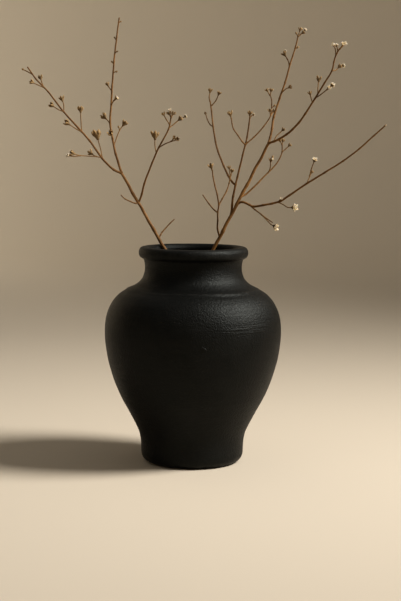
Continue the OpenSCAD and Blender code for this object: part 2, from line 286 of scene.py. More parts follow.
def even_places(points, start, end, gap):
    """Places on the smooth curve from start to end, about a gap apart."""
    fine = np.linspace(start, end, 40 * max(1, round(abs(end - start))) + 1)
    run = run_along(smooth_curve(points, fine))
    steps = max(2, round(run[-1] / gap))
    return np.interp(np.linspace(0, run[-1], steps + 1), run, fine)


def corner(a, b, c, steps):
    """A round corner from a to c, pulled towards b."""
    a, b, c = (np.asarray(p, float) for p in (a, b, c))
    t = np.linspace(0, 1, steps + 1)[:, None]
    return (1 - t) ** 2 * a + 2 * t * (1 - t) * b + t**2 * c


def wall_outside(start, end):
    return smooth_curve(wall_places, even_places(wall_places, start, end, outer_gap))


def wall_inside(start, end):
    places = even_places(wall_places, start, end, inner_gap)
    nearby = 0.02
    run = smooth_curve(wall_places, places + nearby) - smooth_curve(wall_places, places - nearby)
    run /= np.linalg.norm(run, axis=1)[:, None]
    inward = np.stack([-run[:, 1], run[:, 0]], 1)
    return smooth_curve(wall_places, places) + wall_thickness * inward


def lip_arc(start, end, steps):
    """Points round the lip's coil, by angle in degrees from straight out."""
    angle = np.radians(np.linspace(start, end, steps + 1))
    way = np.stack([np.cos(angle), np.sin(angle)], 1)
    squared_off = (np.abs(way) ** lip_squareness).sum(1) ** (-1 / lip_squareness)
    return np.array(lip_centre) + lip_coil_radius * squared_off[:, None] * way


neck_seat = -60
lip_inside = 180
foot_edge = corner((floor_radius, 0), (59.45, 0.5), wall_places[0], 14)
tooled_groove = corner((57.1, 233), (57.7, 236.4), lip_arc(neck_seat, 0, 1)[0], 6)
inside_foot = wall_inside(foot_top, 0)
inside_corner = corner(
    inside_foot[-1], (inside_foot[-1][0], floor_thickness), (floor_radius, floor_thickness), 6
)
stretches = {
    "foot outside": np.concatenate([foot_edge, wall_outside(0, foot_top)[1:]]),
    "belly outside": wall_outside(foot_top, belly_top),
    "shoulder outside": wall_outside(belly_top, shoulder_top),
    "neck outside": np.concatenate([wall_outside(shoulder_top, neck_top), tooled_groove[1:]]),
    "lip": lip_arc(neck_seat, lip_inside, 32),
    "neck inside": np.concatenate([
        lip_arc(lip_inside, lip_inside, 1)[:1], wall_inside(neck_top, shoulder_top)
    ]),
    "shoulder inside": wall_inside(shoulder_top, belly_top),
    "belly inside": wall_inside(belly_top, foot_top),
    "foot inside": np.concatenate([inside_foot, inside_corner[1:]]),
}
# One outline of the whole wall, out and over the lip and down inside, and its rows by stretch.
outline = np.zeros((0, 2))
rows = {}
for stretch, line in stretches.items():
    first = max(0, len(outline) - 1)
    outline = np.concatenate([outline, line[min(1, len(outline)):]])
    rows[stretch] = (first, len(outline) - 1)


def ripples(angle, height, seed, count, most_round, steepest=0):
    """Smooth unevenness of about -1 to 1 that closes on itself round the pot. It adds up a count
    of waves, each with up to most_round crests, that climb as they go round."""
    draw = random.Random(seed)
    total = 0
    for _ in range(count):
        round_it = draw.randint(1, most_round)
        slope = draw.uniform(-steepest, steepest)
        total = total + np.sin(round_it * angle + slope * height + draw.uniform(0, 6.283))
    return total / math.sqrt(2 * count)


def hump(distance, width):
    return np.exp(-((distance / width) ** 2))


def sector(middle, width):
    """1 at an angle round the pot, in degrees, fading to 0 on both sides of it."""
    away = (angle - math.radians(middle) + math.pi) % (2 * math.pi) - math.pi
    return hump(away, math.radians(width))


arc = run_along(outline)[:, None]
height = outline[:, 1][:, None]
angle = turn[None, :]
outside = np.arange(len(outline))[:, None] <= rows["lip"][1]
on_floor = outline[:, 0][:, None] <= floor_radius + 2

# The ridge where the collar was pressed onto the shoulder, with a shallow valley under it and a
# second, weaker line above. All three come and go round the pot.
ridge_above_join = 1.2
ridge_rise = 0.7
ridge_width_above = 0.8
ridge_width_below = 1.5
valley_depth = 0.35
valley_below = 4.5
valley_width = 2.4
second_rise = 0.45
second_above = 3.2
second_width = 0.9
ridge_wander = 0.8 * ripples(angle, 0, seed=5, count=4, most_round=7)
ridge_arc = arc[rows["shoulder outside"][1]] + ridge_above_join + ridge_wander
ridge_strength = 0.2 + 0.8 * sector(-62, 26) + 0.6 * sector(75, 30) + 0.5 * sector(165, 25)
ridge_strength = ridge_strength * (1 + 0.35 * ripples(angle, 0, seed=8, count=5, most_round=14))
second_strength = second_rise * (sector(-38, 16) + 0.7 * sector(60, 18))
from_ridge = arc - ridge_arc
ridge = ridge_rise * ridge_strength * np.where(
    from_ridge > 0, hump(from_ridge, ridge_width_above), hump(from_ridge, ridge_width_below)
)
valley = valley_depth * ridge_strength * hump(from_ridge + valley_below, valley_width)
second_line = second_strength * hump(from_ridge - second_above - np.sin(3 * angle), second_width)
collar_join = np.where(outside, ridge - valley + second_line, 0)

# Scraping and beating leave the outside wavy and a little out of round. The whole outside is set
# in by a little, and the fingers leave lines inside that stop under the lip.
set_in = 0.4
finger_depth = 0.4
finger_gap = 8.5
fingers_end = 215
fingers_fade = 15
foot_even_below = 0.6
foot_even_fade = 8
scraped = (
    0.07 * ripples(angle, arc, seed=11, count=26, most_round=17, steepest=0.3)
    + 0.05 * ripples(angle, arc, seed=12, count=9, most_round=3, steepest=0.9)
)
out_of_round = 0.25 * ripples(angle, height, seed=21, count=3, most_round=3, steepest=0.008)
pressed = 0.7 + 0.3 * ripples(angle, arc, seed=31, count=4, most_round=3, steepest=0.05)
finger_lines = finger_depth * (np.sin(2 * math.pi * arc / finger_gap + angle) - 1) * pressed
near_lip = np.clip((height - fingers_end) / fingers_fade, 0, 1)
uneven = np.where(
    outside, out_of_round - set_in + scraped, 0.3 * scraped + finger_lines * (1 - near_lip)
)
foot_evens_out = np.clip((height - foot_even_below) / foot_even_fade, 0, 1)
uneven = (uneven + collar_join) * np.where(outside, foot_evens_out, 1) * np.where(on_floor, 0, 1)

along = np.gradient(outline, axis=0)
along /= np.linalg.norm(along, axis=1)[:, None]
radius = outline[:, 0][:, None] + along[:, 1][:, None] * uneven
level = height - along[:, 0][:, None] * uneven
clay = np.stack([radius * np.cos(angle), radius * np.sin(angle), level], 2)
clay_facing = np.cross(
    np.roll(clay, -1, axis=1) - np.roll(clay, 1, axis=1), np.gradient(clay, axis=0)
)
clay_facing /= np.linalg.norm(clay_facing, axis=2)[:, :, None]

# Hands rub the lip's top and the ridge pale, and standing rubs the foot's lower edge. The rib
# left a patch of scratches at the front of the shoulder.
lip_top = arc[rows["lip"][0]] + 9
scuff_height = 164
clay_worn = np.clip(
    0.14 * hump(arc - lip_top, 6)
    + np.where(outside, 0.7 * ridge_strength * hump(from_ridge, 1.0), 0)
    + np.where(outside, 0.7 * hump(height - 1, 3), 0),
    0, 1,
)
clay_scuffed = np.where(outside, hump(height - scuff_height, 5) * sector(-52, 17), 0)

burnished_clay = smoked_clay(
    "burnished_clay", (0.004, 0.0039, 0.0034, 1), (0.008, 0.0078, 0.007, 1), 0.41, 0.16
)
unburnished_below = 205


def lay_course(name, outer, inner=None, seat=None):
    """One closed course of the wall, from its stretches outside and inside. seat is the hidden
    bed between the neck and the lip. Inside the pot the clay is unburnished up to the neck."""

    def band_of_wall(a, b):
        return [grid[a:b + 1] for grid in (clay, clay_facing, clay_worn, clay_scuffed)]

    bands = [band_of_wall(*rows[outer])]
    if seat is not None:
        hidden = np.stack(
            [seat[:, :1] * np.cos(angle), seat[:, :1] * np.sin(angle), seat[:, 1:] + 0 * angle], 2
        )
        plain_bed = np.zeros(hidden.shape[:2])
        bands.append([hidden, np.zeros_like(hidden), plain_bed, plain_bed])
    if inner is not None:
        bands.append(band_of_wall(*rows[inner]))
    points, facing, worn, scuffed = (np.concatenate(grids) for grids in zip(*bands))
    band_of = np.repeat(np.arange(len(bands)), [len(band[0]) for band in bands])
    rings = len(points)
    faces = ring_faces(rings, STEPS_ROUND, closed=True)
    course = make_piece(
        name, points.reshape(-1, 3), faces, [burnished_clay, unburnished_clay],
        {"worn": worn.reshape(-1), "scuffed": scuffed.reshape(-1)},
    )
    if inner is not None:
        deep_inside = (band_of == len(bands) - 1) & (points[:, 0, 2] < unburnished_below)
        course.data.polygons.foreach_set(
            "material_index", np.repeat(deep_inside, STEPS_ROUND).astype(int)
        )

    # Faces of the worked surface take the whole wall's shading, so no line shows at a course.
    corners = np.array(faces)
    flat = points.reshape(-1, 3)
    flat_facing = facing.reshape(-1, 3)[corners]
    one_way = flat[corners[:, 1]] - flat[corners[:, 0]]
    other_way = flat[corners[:, 3]] - flat[corners[:, 0]]
    plain = np.cross(one_way, other_way)
    plain /= np.maximum(np.linalg.norm(plain, axis=1), 1e-9)[:, None]
    hidden_gap = np.repeat(
        (band_of != np.roll(band_of, -1)) | (np.abs(facing).sum((1, 2)) == 0), STEPS_ROUND
    )
    flat_facing[hidden_gap] = plain[hidden_gap][:, None, :]
    course.data.normals_split_custom_set(flat_facing.reshape(-1, 3))
    return course


foot_course = lay_course("foot_course", "foot outside", "foot inside")
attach(foot_course, "pot")
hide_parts("pot_foot")


# ---- Belly course ---------------------------------------------------------------------------
# The second course opens out from the foot to just under the widest place. It is a fat coil of
# the same clay, luted to the foot, pulled up thin between two hands and scraped smooth outside.

belly_course = lay_course("belly_course", "belly outside", "belly inside")
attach(belly_course, "pot")
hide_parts("pot_belly")


# ---- Shoulder course ------------------------------------------------------------------------
# The third course holds the widest place and closes in to the collar. It is the same clay, and
# it is scraped with a curved rib of gourd, then rubbed until it takes a soft grey sheen.

shoulder_course = lay_course("shoulder_course", "shoulder outside", "shoulder inside")
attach(shoulder_course, "pot")
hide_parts("pot_shoulder")


# ---- Dragged crumb --------------------------------------------------------------------------
# A crumb of clay that the rib caught and dragged a few millimetres over the front of the
# shoulder while it was wet. The potter left it there, so it fired on with the rest.

crumb_half = np.array([3.2, 0.75, 0.75])
crumb_turn = math.radians(-82.7)
crumb_height = 145
crumb_slope = math.radians(-33)
crumb_sunk = 0.05
crumb_worn = 0.35
crumb_sides = 16
out = np.array([math.cos(crumb_turn), math.sin(crumb_turn), 0])
sideways = np.array([-out[1], out[0], 0])
drag_way = math.cos(crumb_slope) * sideways + np.array([0, 0, math.sin(crumb_slope)])
crumb_axes = np.stack([drag_way, np.cross(out, drag_way), out]) * crumb_half[:, None]
crumb_row = np.argmin(np.abs(height[:rows["lip"][0], 0] - crumb_height))
crumb_column = round(crumb_turn % (2 * math.pi) / (2 * math.pi) * STEPS_ROUND)
crumb_middle = clay[crumb_row, crumb_column] - crumb_sunk * out
spin = np.linspace(0, 2 * math.pi, crumb_sides, endpoint=False)
ends = np.linspace(-0.99, 0.99, 13)
crumb = []
for share in ends:
    girth = math.sqrt(1 - share * share)
    crumb.append(
        np.stack([np.full(crumb_sides, share), girth * np.cos(spin), girth * np.sin(spin)], 1)
    )
crumb = np.concatenate(crumb)
dragged_crumb = make_piece(
    "dragged_crumb", crumb_middle + crumb @ crumb_axes, capped_faces(len(ends), crumb_sides),
    [burnished_clay], {"worn": np.full(len(crumb), crumb_worn)},
)
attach(dragged_crumb, "pot")
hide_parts("pot_shoulder")


# ---- Neck -----------------------------------------------------------------------------------
# A short concave collar of clay, pressed onto the shoulder with the fingers. The join stays as
# an uneven ridge. Its top is hollowed to seat the coil of the lip, with a tooled groove outside.

neck_bed = lip_arc(neck_seat, -180, 10)[1:-1]
neck_course = lay_course("neck_course", "neck outside", "neck inside", neck_bed)
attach(neck_course, "pot")
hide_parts("pot_neck")


# ---- Lip ------------------------------------------------------------------------------------
# A coil of clay laid on the neck and rolled over into a round lip with a wet cloth. Hands and
# stems rub its top, so it is a little paler and smoother there.

rolled_lip = lay_course("rolled_lip", "lip", seat=lip_arc(-180, neck_seat, 10)[1:-1])
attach(rolled_lip, "pot")
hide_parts("pot_rim")


# ---- Main stems -----------------------------------------------------------------------------
# Two dry woody stems stand loose in the pot and lean on the back of the lip. Each is a straight
# tan rod with fine ribs along it, a swollen knot where an arm grows out, and a pale cut end.

stem_lines = {
    "left": [(62, 32, 78), (-85, 32, 333)],
    "right": [(-60, 40, 80), (87, 40, 369)],
}
stem_knot_heights = {"left": [139, 196, 257, 298], "right": [149, 211, 258, 285, 298, 306]}
stem_butt = 5.4
stem_fork = 3


def dry_bark(name, dark, light, roughness, painted_shade_share=0.35, palest=1.0):
    """Dry plant skin: painted shade darkens the hollows between its ribs, with patches and dark
    freckles. It is all light where the rib and the patches together come to palest."""
    skin, tree, surface, place = new_skin(name)
    darkest = [0.5 * c for c in dark[:3]] + [1]
    patches = mottle(tree, place, scale=90, detail=3)
    freckles = rescale(tree, mottle(tree, place, scale=1300), 0.55, 0.7)
    # Painted shade: a low rib value darkens the hollows between the ribs, and a high one lightens
    # their crests.
    amount = sum_of(tree, (value_of(tree, "rib"), painted_shade_share), (patches, 1.1))
    colour = tint(tree, rescale(tree, amount, 0.3, palest), dark, light)
    colour = tint(tree, product(tree, freckles, 0.45), colour, darkest)
    tree.links.new(colour, surface.inputs["Base Color"])
    surface.inputs["Roughness"].default_value = roughness
    surface.inputs["Specular IOR Level"].default_value = 0.25
    relief = sum_of(tree, (mottle(tree, place, scale=1500), 0.6), (patches, 0.4))
    set_relief(tree, surface, relief, 0.0003)
    return skin


stem_bark = dry_bark("stem_bark", (0.08, 0.034, 0.009, 1), (0.31, 0.162, 0.052, 1), 0.6)
pale_pith = dry_bark("pale_pith", (0.3, 0.2, 0.11, 1), (0.55, 0.42, 0.27, 1), 0.85)
ease_run = 6
lump_depth = 0.05
dome_share = 0.55


def grow_rod(line, butt, tip, sides, gap, seed, knots=(), ribs=5, rib_depth=0.06, flare=0.35,
             wander=0.0, knot_size=0.28):
    """A dry rod along the smooth curve through the line's points: the points and faces of a
    closed mesh, and how much each point stands on a rib. butt and tip are widths, and knots are
    places on the curve. The root flares, the way a branch does where it leaves its parent. The
    tip ends in a small dome."""
    draw = random.Random(seed)
    last = len(line) - 1
    places = even_places(line, 0, last, gap)
    path = smooth_curve(line, places)
    run = run_along(path)
    knot_runs = np.interp(list(knots), places, run)
    sway = np.stack([
        np.sin(run * draw.uniform(0.12, 0.2) + draw.uniform(0, 6.28)) for _ in range(3)
    ], 1)
    ease = np.minimum(1, np.minimum(run, run[-1] - run) / ease_run)[:, None]
    path = path + wander * ease * sway
    along = np.gradient(path, axis=0)
    along /= np.linalg.norm(along, axis=1)[:, None]

    radius = (butt + (tip - butt) * run / run[-1]) / 2
    radius = radius * (1 + flare * hump(run, butt * 0.9))
    for knot_run in knot_runs:
        radius = radius * (1 + knot_size * hump(run - knot_run, 0.5 * butt))
    side_angle = np.linspace(0, 2 * math.pi, sides, endpoint=False)
    twist = draw.uniform(-0.02, 0.02)
    ribbing = np.cos(ribs * side_angle[None, :] + twist * run[:, None] + draw.uniform(0, 6.28))
    lumps = np.sin(
        side_angle[None, :] + run[:, None] * draw.uniform(0.25, 0.45) + draw.uniform(0, 6.28)
    )
    spread = radius[:, None] * (1 + rib_depth * ribbing + lump_depth * lumps)

    across = np.cross(along[0], (0.31, 0.95, 0.07))
    path[-1] -= dome_share * radius[-1] * along[-1]
    rings = []
    for centre, heading, reach in zip(path, along, spread):
        across = across - heading * np.dot(across, heading)
        across = across / np.linalg.norm(across)
        up = np.cross(heading, across)
        way = np.cos(side_angle)[:, None] * across + np.sin(side_angle)[:, None] * up
        rings.append(centre + reach[:, None] * way)
    dome = path[-1] + along[-1] * radius[-1] * dome_share + dome_share * (rings[-1] - path[-1])
    rings.append(dome)
    rib = np.concatenate([(0.5 + 0.5 * ribbing).reshape(-1), np.full(sides, 0.5)])
    return np.concatenate(rings), capped_faces(len(rings), sides), rib


def join_growth(parts):
    """One list of points, faces and rib heights out of several rods."""
    points = []
    faces = []
    ribs = []
    start = 0
    for part_points, part_faces, part_rib in parts:
        points.append(part_points)
        faces += [tuple(start + i for i in face) for face in part_faces]
        ribs.append(part_rib)
        start += len(part_points)
    return np.concatenate(points), faces, np.concatenate(ribs)


for side, line in stem_lines.items():
    butt_height = line[0][2]
    fork_height = line[1][2]
    knots = [(h - butt_height) / (fork_height - butt_height) for h in stem_knot_heights[side]]
    points, faces, rib = grow_rod(
        line, stem_butt, stem_fork, 24, 1.5, side + " stem", knots, ribs=8, rib_depth=0.045,
        flare=0.0, wander=0.25, knot_size=0.2,
    )
    stem = make_piece(side + "_woody_stem", points, faces, [stem_bark, pale_pith], {"rib": rib})
    cut_end = stem.data.polygons[-2]
    cut_end.material_index = 1
    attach(stem, side + "_sprig")
    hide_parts(side + "_stem")


# ---- Arms -----------------------------------------------------------------------------------
# Each stem forks into thin arms of brown dry wood. They grow out of it with a flared root, bend a
# little at every knot, where a stalk or a leaf once grew, and taper to a dry tip. The drooping
# one has snapped, so its end shows pale wood. An arm is its root's and tip's share, and its line.

arm_root = 2.6
arm_tip = 1.5
arm_sides = 14
snapped_arm = "right_drooping_arm"
snapped_rings = 3
arm_lines = {
    "left_outer_arm": (1, 1, [
        (-85, 32, 333), (-94, 29, 337), (-107, 24, 350), (-121, 18, 370), (-134, 12, 385),
        (-150, 6, 403), (-167, 2, 425), (-181, -1, 440), (-190, -4, 453)]),
    "left_middle_arm": (1, 1, [
        (-85, 32, 333), (-92, 36, 355), (-96, 40, 373), (-99, 43, 391), (-98, 46, 413),
        (-97, 48, 434), (-95, 50, 463), (-92, 51, 491), (-89, 52, 514)]),
    "left_inner_arm": (0.85, 1, [
        (-65, 32, 298), (-61, 30, 309), (-58, 28, 321), (-49, 24, 345), (-41, 20, 363),
        (-30, 17, 384), (-27, 15, 398)]),
    "right_low_twig": (0.8, 0.8, [
        (31, 40, 258), (28, 36, 268), (28, 31, 278), (28, 27, 288), (29, 23, 297),
        (27, 20, 309), (24, 17, 320), (22, 14, 330), (21, 12, 338)]),
    "right_inner_arm": (1, 1, [
        (44, 40, 285), (45, 43, 296), (46, 45, 306), (49, 47, 320), (51, 48, 329),
        (54, 49, 342), (57, 50, 355), (60, 50, 367), (62, 51, 376), (64, 52, 391),
        (65, 52, 399)]),
    "right_curved_arm": (0.9, 1, [
        (49, 47, 320), (45, 50, 323), (40, 54, 331), (35, 58, 342), (28, 62, 359),
        (25, 64, 370), (22, 66, 388), (20, 67, 406), (18, 68, 419)]),
    "right_drooping_arm": (1, 1, [
        (51, 40, 298), (57, 38, 300), (65, 35, 297), (70, 33, 295), (81, 29, 297),
        (91, 26, 299), (101, 23, 302), (111, 20, 309), (131, 15, 323), (151, 10, 336),
        (171, 6, 349), (190, 2, 364), (205, 0, 378), (219, -2, 391)]),
    "right_short_arm": (0.8, 0.8, [
        (55, 40, 306), (61, 43, 309), (70, 46, 317), (77, 49, 324), (87, 53, 334),
        (93, 55, 340), (98, 57, 346), (102, 59, 353), (104, 60, 359), (104, 61, 368)]),
    "right_outer_arm": (1, 1, [
        (87, 40, 369), (93, 37, 371), (99, 34, 374), (107, 30, 379), (114, 27, 385),
        (121, 24, 393), (128, 21, 403), (139, 17, 421), (149, 13, 438), (157, 10, 452),
        (159, 8, 462), (161, 7, 469), (165, 6, 477)]),
    "right_top_arm": (1, 1, [
        (87, 40, 369), (89, 43, 376), (91, 45, 386), (93, 48, 400), (100, 51, 422),
        (106, 53, 440), (112, 55, 462), (118, 57, 482), (121, 58, 495)]),
}
twig_bark = dry_bark("twig_bark", (0.058, 0.024, 0.005, 1), (0.24, 0.118, 0.031, 1), 0.62)

for node, (root_share, tip_share, line) in arm_lines.items():
    knots = range(1, len(line) - 1)
    points, faces, rib = grow_rod(
        line, arm_root * root_share, arm_tip * tip_share, arm_sides, 0.9, node, knots,
        wander=0.07, knot_size=0.2,
    )
    arm = make_piece(node.replace("_", "-"), points, faces, [twig_bark, pale_pith], {"rib": rib})
    if node == snapped_arm:
        for face in arm.data.polygons[-2 - snapped_rings * arm_sides:-2]:
            face.material_index = 1
        snapped_end = arm.data.polygons[-1]
        snapped_end.material_index = 1
    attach(arm, node.split("_")[0] + "_sprig")
    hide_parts(node)


# ---- Bare and forked twigs ------------------------------------------------------------------
# Thin side twigs of the same dry wood that lost their flowers, or that fork off an arm and carry
# only a few. They are as thick as a match's splinter and end where they snapped.

bare_twig = 1.4
twig_lines = {
    "left_bare_twigs": [
        [(-65, 32, 298), (-69, 29, 298), (-74, 26, 300), (-80, 22, 303), (-85, 19, 308)],
        [(-41, 32, 257), (-39, 35, 261), (-37, 38, 264), (-28, 42, 274), (-23, 44, 279)],
    ],
    "right_forked_twigs": [
        [(60, 50, 367), (56, 47, 371), (51, 44, 378), (46, 41, 385), (44, 40, 391),
         (43, 39, 398)],
        [(60, 50, 367), (63, 51, 370), (70, 54, 376), (82, 58, 389), (90, 61, 402),
         (91, 62, 414), (91, 62, 420), (89, 61, 426)],
        [(29, 23, 297), (33, 26, 304), (38, 29, 313), (41, 32, 322), (43, 35, 332)],
    ],
    "right_bare_twigs": [
        [(28, 27, 288), (24, 24, 291), (18, 20, 298), (10, 15, 309)],
        [(65, 35, 297), (71, 31, 292), (79, 27, 286), (86, 24, 281), (92, 21, 277)],
    ],
}

for node, lines in twig_lines.items():
    rods = [
        grow_rod(
            line, bare_twig * 1.2, bare_twig * 0.8, 12, 0.7, f"{node} {k}",
            range(1, len(line) - 1), wander=0.1,
        )
        for k, line in enumerate(lines)
    ]
    points, faces, rib = join_growth(rods)
    twigs = make_piece(node.replace("_", "-"), points, faces, [twig_bark], {"rib": rib})
    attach(twigs, node.split("_")[0] + "_sprig")
    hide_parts(node)


# ---- Stalks ---------------------------------------------------------------------------------
# The hair-thin stalks that carry the seed heads, buds and blossoms. They are dry and brittle,
# and flare where they leave the arm. A shoot is what it ends in, that end's radius, and the
# points of its stalk.

stalk_root = 1.3
stalk_tip = 1.1
shoots = {
    "left": [
        # on the outer arm, from its tip down
        ("bud", 1.3, [(-185, -2, 445), (-191, 0, 448), (-195, 2, 450)]),
        ("seed", 2.3, [(-172, 1, 430), (-179, -4, 433), (-183, -6, 435)]),
        ("seed", 2.5, [(-172, 1, 430), (-175, 5, 437), (-176, 7, 440)]),
        ("seed", 2.7, [(-150, 6, 403), (-155, 1, 405), (-161, -2, 409)]),
        ("seed", 2.7, [(-150, 6, 403), (-150, 10, 410), (-152, 13, 416)]),
        ("seed", 3.2, [(-130, 14, 380), (-135, 9, 383), (-144, 5, 389)]),
        ("seed", 3.2, [(-130, 14, 381), (-131, 19, 390), (-132, 24, 404)]),
        ("seed", 3, [(-107, 24, 350), (-113, 20, 352), (-131, 10, 353), (-138, 7, 355)]),
        ("blossom", 2.6, [(-131, 10, 353), (-138, 5, 352), (-144, 3, 353)]),
        ("seed", 3, [(-113, 20, 352), (-116, 22, 353), (-119, 24, 355)]),
        ("seed", 5, [(-107, 24, 351), (-109, 28, 360), (-112, 32, 370), (-113, 33, 374)]),
        # on the middle arm, from its tip down
        ("bud", 1, [(-90, 52, 508), (-88, 53, 509)]),
        ("bud", 1, [(-92, 51, 487), (-94, 52, 490)]),
        ("bud", 1.1, [(-94, 50, 473), (-92, 49, 474)]),
        ("bud", 1.1, [(-95, 50, 460), (-97, 51, 462)]),
        ("bud", 1.2, [(-96, 49, 450), (-93, 50, 451)]),
        ("seed", 2.2, [(-97, 48, 428), (-101, 51, 433), (-102, 52, 435)]),
        ("seed", 2.2, [(-98, 46, 412), (-95, 42, 417), (-93, 41, 419)]),
        ("blossom", 2, [(-95, 42, 417), (-93, 40, 418), (-91, 39, 420)]),
        ("seed", 3.2, [(-99, 43, 390), (-102, 46, 394), (-105, 48, 397)]),
        ("seed", 3, [(-96, 40, 372), (-96, 36, 375), (-97, 34, 377)]),
        ("seed", 3.2, [(-94, 39, 366), (-91, 44, 375), (-88, 48, 383), (-84, 50, 389)]),
        ("bud", 1.2, [(-88, 48, 383), (-89, 46, 386)]),
        # on the inner arm
        ("seed", 4.2, [(-44, 22, 356), (-46, 27, 366), (-46, 31, 374)]),
        ("seed", 2.3, [(-41, 20, 363), (-34, 15, 367), (-27, 11, 370), (-24, 9, 373)]),
        ("seed", 2.2, [(-27, 11, 370), (-23, 8, 371), (-21, 6, 372)]),
        ("seed", 2.5, [(-30, 17, 385), (-25, 20, 389), (-18, 23, 395)]),
        ("blossom", 2.4, [(-18, 23, 395), (-14, 26, 397), (-11, 27, 399)]),
        ("seed", 2, [(-29, 16, 390), (-33, 12, 396), (-35, 10, 400)]),
        ("seed", 2.2, [(-27, 15, 397), (-29, 13, 401)]),
        ("seed", 2.2, [(-27, 15, 397), (-25, 18, 401)]),
        ("blossom", 2, [(-27, 15, 397), (-27, 11, 402), (-28, 9, 405)]),
    ],
    "right": [
        # on the low twig
        ("seed", 2.8, [(21, 12, 337), (20, 11, 340)]),
        ("seed", 2.2, [(43, 35, 331), (44, 36, 335)]),
        ("seed", 2, [(41, 32, 322), (42, 31, 330), (41, 31, 339)]),
        # on the curved arm
        ("seed", 2.4, [(18, 68, 418), (17, 68, 423), (18, 69, 429)]),
        ("seed", 2.2, [(20, 67, 413), (25, 66, 419), (28, 65, 426)]),
        ("bud", 1.4, [(22, 66, 388), (18, 67, 391), (15, 68, 397), (13, 69, 403)]),
        # on the inner arm and the forked twigs
        ("seed", 2.6, [(65, 52, 398), (65, 51, 402)]),
        ("blossom", 2, [(65, 52, 398), (67, 53, 401), (69, 54, 402)]),
        ("seed", 2.8, [(43, 39, 397), (42, 38, 401)]),
        ("seed", 2, [(90, 61, 402), (89, 58, 406)]),
        ("seed", 2, [(90, 61, 402), (93, 63, 406)]),
        ("bud", 1.3, [(91, 62, 411), (94, 63, 413)]),
        ("seed", 2, [(89, 61, 425), (86, 60, 430)]),
        ("seed", 2, [(89, 61, 425), (90, 62, 430)]),
        # on the drooping arm
        ("seed", 1.8, [(131, 15, 323), (134, 18, 331), (136, 19, 335)]),
        ("blossom", 3.4, [(134, 18, 331), (136, 17, 340), (139, 16, 349)]),
        ("blossom", 4.6, [(97, 24, 301), (104, 20, 298), (109, 17, 295), (115, 14, 295)]),
        ("blossom", 4.4, [(79, 27, 286), (87, 21, 278), (90, 19, 275), (94, 17, 273)]),
        # on the short arm
        ("seed", 2, [(104, 61, 367), (102, 60, 371)]),
        ("seed", 2, [(104, 61, 367), (105, 63, 371)]),
        ("seed", 2, [(104, 60, 359), (109, 62, 363), (112, 63, 366)]),
        ("seed", 2, [(88, 53, 335), (90, 51, 341), (90, 49, 348)]),
        ("bud", 1.4, [(90, 49, 347), (92, 51, 352)]),
        ("blossom", 1.6, [(90, 49, 347), (92, 46, 350)]),
        # on the outer arm, from its root up
        ("seed", 2, [(93, 37, 371), (96, 41, 377), (101, 44, 382), (103, 45, 384)]),
        ("seed", 2.2, [(136, 18, 416), (134, 16, 421), (133, 15, 425)]),
        ("seed", 3, [(142, 16, 427), (142, 19, 433), (143, 22, 441)]),
        ("blossom", 2.8, [(139, 17, 421), (145, 13, 425), (151, 9, 430), (153, 8, 432)]),
        ("blossom", 3, [(151, 9, 430), (155, 8, 433), (157, 9, 435)]),
        ("seed", 2.2, [(157, 10, 452), (162, 13, 453), (165, 15, 456)]),
        ("blossom", 2.4, [(165, 15, 456), (168, 17, 457), (170, 18, 458)]),
        ("blossom", 2.6, [(161, 7, 470), (160, 5, 476), (158, 4, 480)]),
        ("blossom", 2.4, [(162, 7, 471), (163, 9, 476), (162, 11, 480)]),
        ("blossom", 2.6, [(165, 6, 476), (167, 4, 479), (168, 2, 481)]),
        ("blossom", 2.4, [(165, 6, 476), (169, 8, 480), (171, 9, 482)]),
        # on the top arm, from its root up
        ("seed", 2.2, [(102, 51, 428), (106, 48, 432), (110, 46, 434)]),
        ("seed", 2.6, [(111, 55, 460), (109, 58, 467), (106, 60, 472)]),
        ("blossom", 1.8, [(109, 58, 467), (106, 61, 473), (106, 63, 477)]),
        ("bud", 1.3, [(117, 57, 479), (120, 58, 481)]),
        ("bud", 1.2, [(121, 58, 494), (119, 56, 497)]),
        ("seed", 2.2, [(121, 58, 494), (123, 59, 501)]),
        ("seed", 1.8, [(121, 58, 494), (126, 60, 498)]),
        ("blossom", 2, [(121, 58, 494), (127, 62, 500), (129, 62, 502)]),
        # a withered one left at the drooping arm's bend
        ("blossom", 1.7, [(99, 23.5, 301.5), (100, 22.5, 303), (101, 21.5, 304.5)]),
    ],
}
stalk_bark = dry_bark("stalk_bark", (0.07, 0.032, 0.008, 1), (0.25, 0.136, 0.042, 1), 0.65)

for side, grown in shoots.items():
    rods = [
        grow_rod(
            line, stalk_root, stalk_tip, 8, 0.8, f"{side} stalk {k}", range(1, len(line) - 1),
            ribs=3, flare=0.5, wander=0.08, knot_size=0.15,
        )
        for k, (_, _, line) in enumerate(grown)
    ]
    points, faces, rib = join_growth(rods)
    stalks = make_piece(side + "_thin_stalks", points, faces, [stalk_bark], {"rib": rib})
    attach(stalks, side + "_sprig")
    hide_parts(side + "_stalks")


# ---- Seed heads and buds --------------------------------------------------------------------
# Dry brown husks that grow on their stalks. A seed head is a small ribbed cup of four or five
# plump pods, dark with painted shade at their roots and paler towards their dry tips, that split
# open round a few dark seeds. A bud is a closed ribbed spindle that never opened.

# Painted shade: the pods darken towards their roots down in the cup, and pale towards their dry
# tips.
dry_husk = dry_bark(
    "dry_husk", (0.028, 0.014, 0.005, 1), (0.42, 0.28, 0.13, 1), 0.72, painted_shade_share=0.9, palest=1.45
)
dark_seed = dry_bark("dark_seed", (0.012, 0.006, 0.003, 1), (0.04, 0.02, 0.01, 1), 0.5)
husk_skin = 0
seed_skin = 1
seed_head_swell = 1.12


